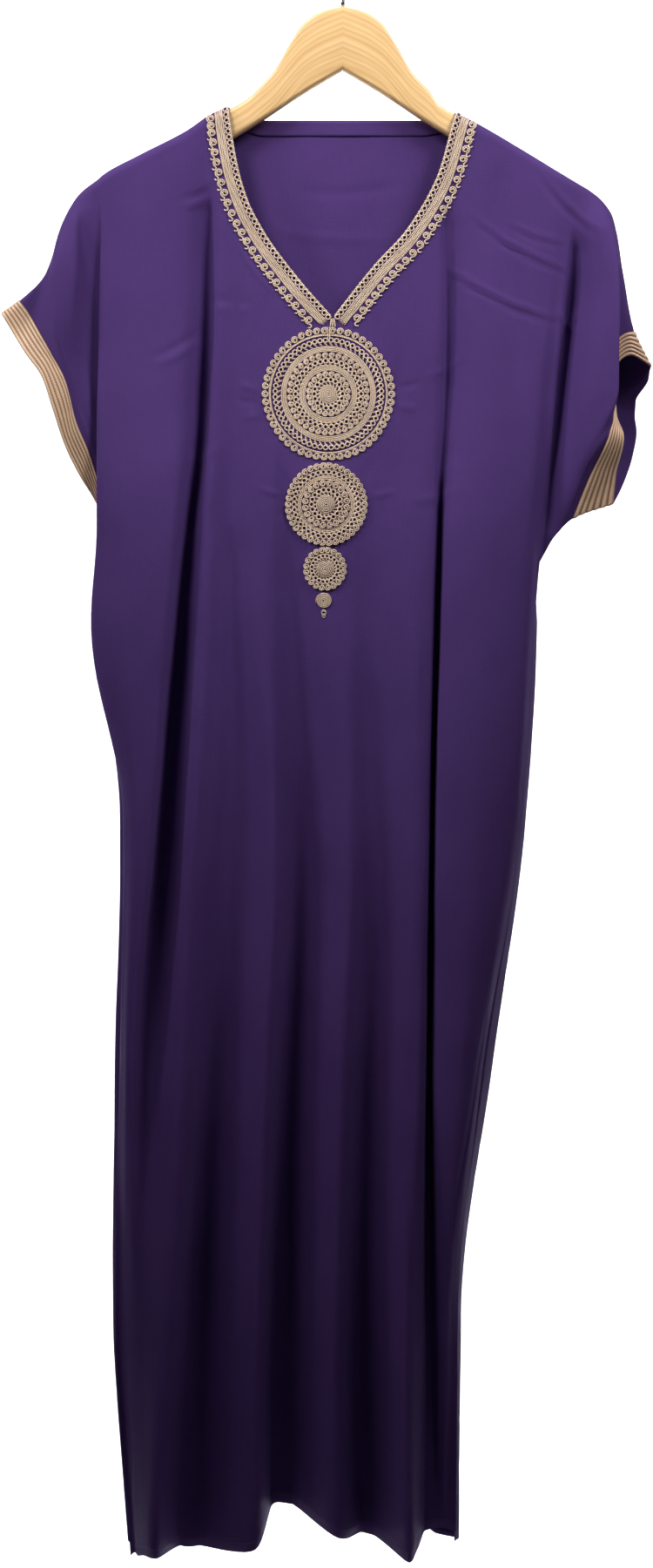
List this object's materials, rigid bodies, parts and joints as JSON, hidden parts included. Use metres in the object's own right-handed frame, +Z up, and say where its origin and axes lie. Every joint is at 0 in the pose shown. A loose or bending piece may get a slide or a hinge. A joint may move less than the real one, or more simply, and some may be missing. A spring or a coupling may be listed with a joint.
{
  "type": "moroccan kaftan on a wooden hanger",
  "caption": "Long short-sleeved V-neck kaftan hung on a wooden hanger, with looped cord braid round the neck, round cord rosettes down the chest and ribbed braid on the cuffs.",
  "frame": {"origin": "where the rail bears inside the top of the hanger's hook", "axes": "+Z up along the hanger's hook, front of the garment faces -Y, +X to the right as seen from the front"},
  "size_m": [0.6017, 0.1192, 1.5407],
  "materials": {
    "purple_crepe": "matte",
    "gold_cord": "satin",
    "cuff_braid": "satin",
    "pine": "satin",
    "steel_wire": "polished"
  },
  "bodies": {
    "root": {"front_panel": "purple_crepe", "back_panel": "purple_crepe", "back_neck_facing": "purple_crepe", "neck_braid_left": "gold_cord", "neck_braid_right": "gold_cord", "neck_coils_left": "gold_cord", "neck_coils_right": "gold_cord", "rosette_large": "gold_cord", "rosette_medium": "gold_cord", "rosette_small": "gold_cord", "drop_coil": "gold_cord", "cuff_braid_left_front": "cuff_braid", "cuff_braid_left_back": "cuff_braid", "cuff_braid_right_front": "cuff_braid", "cuff_braid_right_back": "cuff_braid", "hanger_arm_left": "pine", "hanger_arm_right": "pine", "hanger_hook": "steel_wire"}
  },
  "joints": []
}
